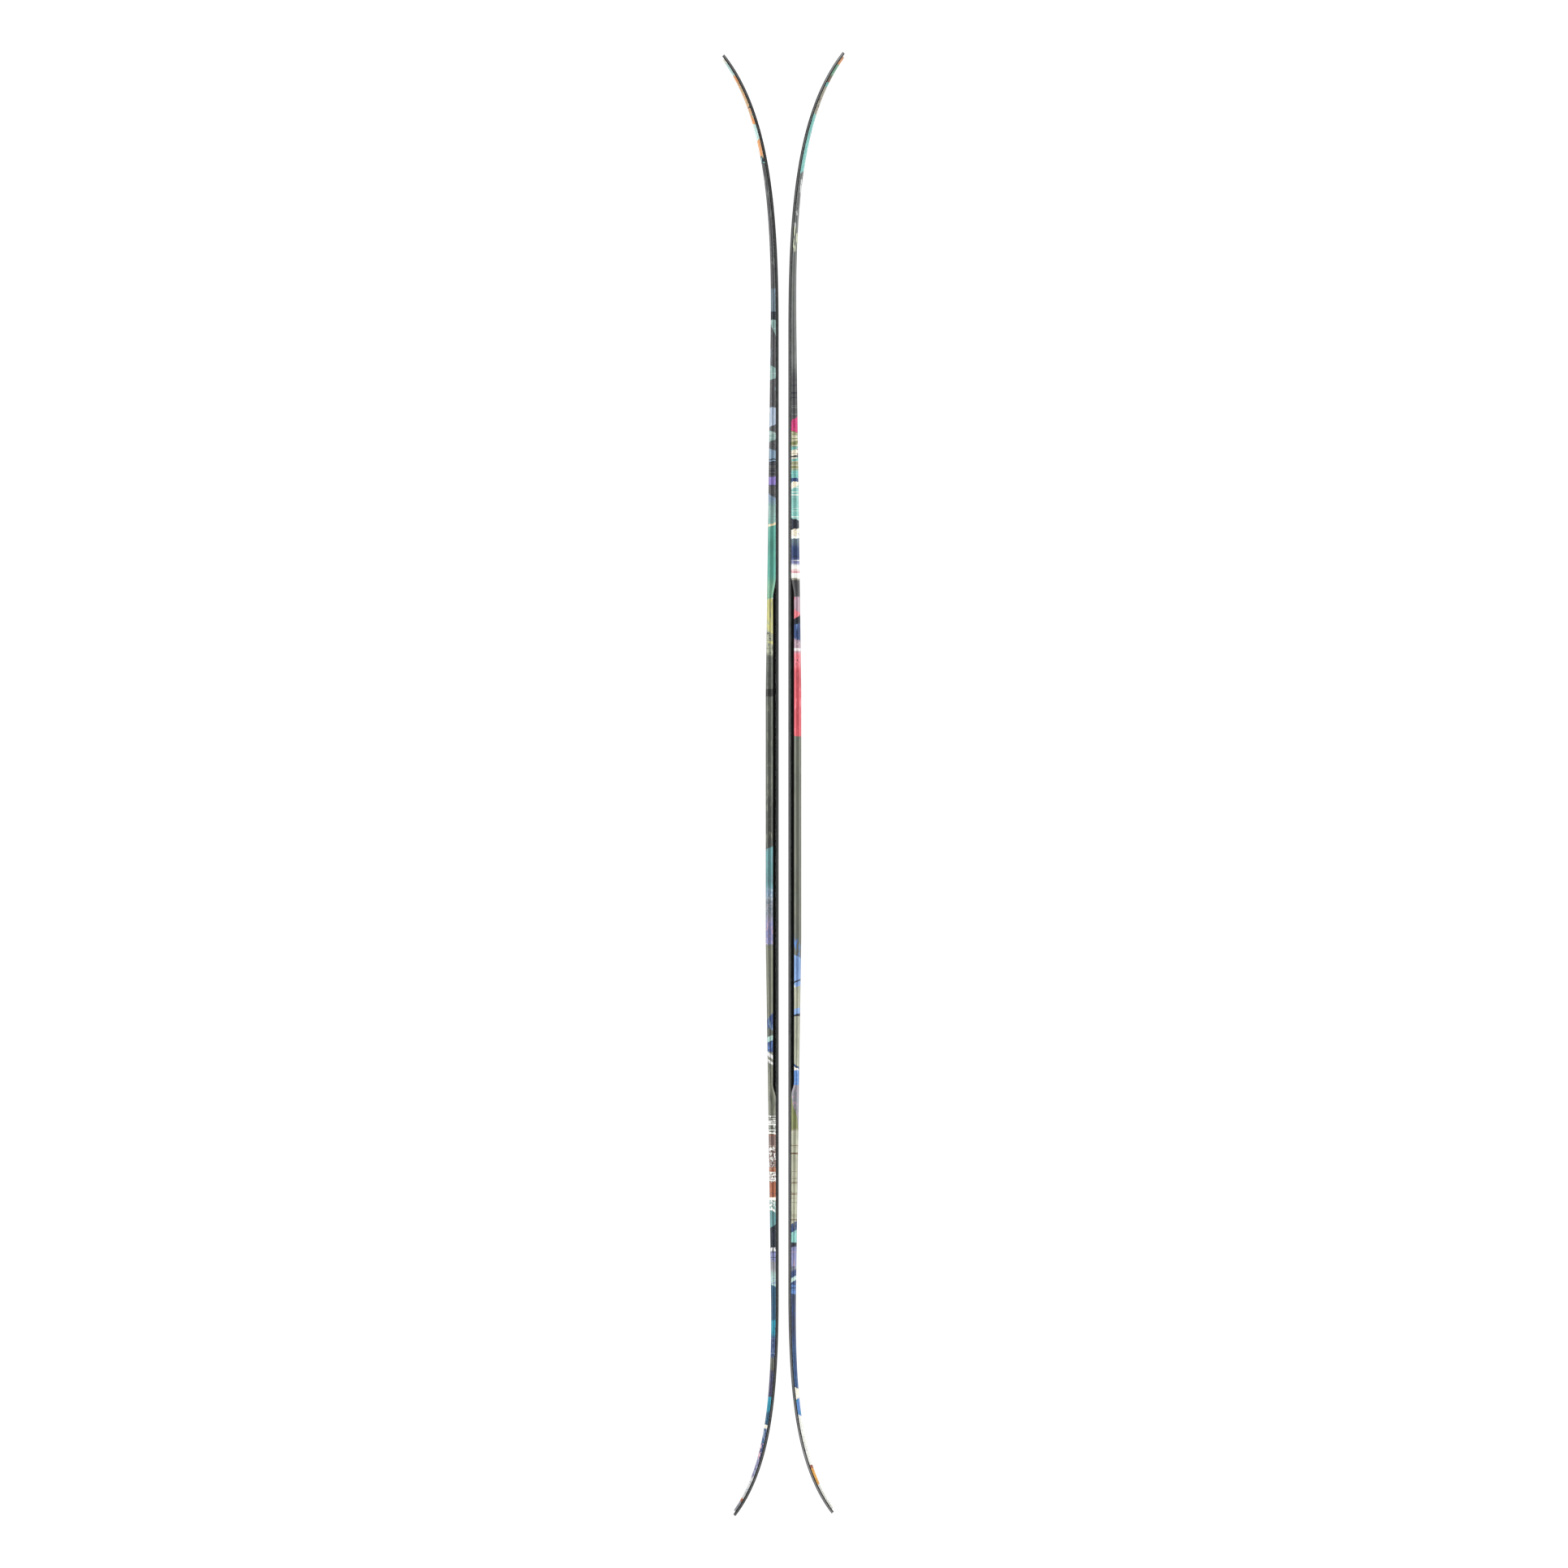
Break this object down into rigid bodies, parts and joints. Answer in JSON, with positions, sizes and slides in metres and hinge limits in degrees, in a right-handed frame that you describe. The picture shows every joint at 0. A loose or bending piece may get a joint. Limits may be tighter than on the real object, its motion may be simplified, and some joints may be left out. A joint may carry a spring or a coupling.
{
  "type": "pair of alpine skis",
  "caption": "Twin-tip rockered alpine skis without bindings, upright and base to base: layered half-cap build, steel edges, sidewalls underfoot.",
  "frame": {"origin": "on the pair's centre line, midway between the two bases and midway across the width, at the height of a ski rack's pegs, 1.34 m above the left ski's tail", "axes": "+Z along the skis from tails to tips, +X across the gap from the left ski to the right ski, +Y across the width, away from the inside edges"},
  "size_m": [0.1488, 0.138, 1.7812],
  "materials": {
    "running_base": "satin",
    "edge_steel": "satin",
    "damping_rubber": "matte",
    "laminate": "satin",
    "sidewall": "satin",
    "spacer": "matte",
    "core_wood": "matte",
    "plate_alloy": "satin",
    "left_ski_top_sheet": "satin",
    "right_ski_top_sheet": "satin"
  },
  "bodies": {
    "left_ski": {"left_ski_base": "running_base", "left_ski_lower_laminate": "laminate", "left_ski_inside_edge": "edge_steel", "left_ski_outside_edge": "edge_steel", "left_ski_inside_edge_foil": "damping_rubber", "left_ski_outside_edge_foil": "damping_rubber", "left_ski_inside_sidewall": "sidewall", "left_ski_outside_sidewall": "sidewall", "left_ski_wood_core": "core_wood", "left_ski_tip_spacer": "spacer", "left_ski_tail_spacer": "spacer", "left_ski_binding_plate": "plate_alloy", "left_ski_upper_laminate": "laminate", "left_ski_top_sheet": "left_ski_top_sheet"},
    "right_ski": {"right_ski_base": "running_base", "right_ski_lower_laminate": "laminate", "right_ski_inside_edge": "edge_steel", "right_ski_outside_edge": "edge_steel", "right_ski_inside_edge_foil": "damping_rubber", "right_ski_outside_edge_foil": "damping_rubber", "right_ski_inside_sidewall": "sidewall", "right_ski_outside_sidewall": "sidewall", "right_ski_wood_core": "core_wood", "right_ski_tip_spacer": "spacer", "right_ski_tail_spacer": "spacer", "right_ski_binding_plate": "plate_alloy", "right_ski_upper_laminate": "laminate", "right_ski_top_sheet": "right_ski_top_sheet"}
  },
  "joints": [
    {"name": "pair_gap", "type": "slide", "parent": "left_ski", "child": "right_ski", "axis": [1, 0, 0], "range_m": [-0.0112, 0.3]}
  ]
}
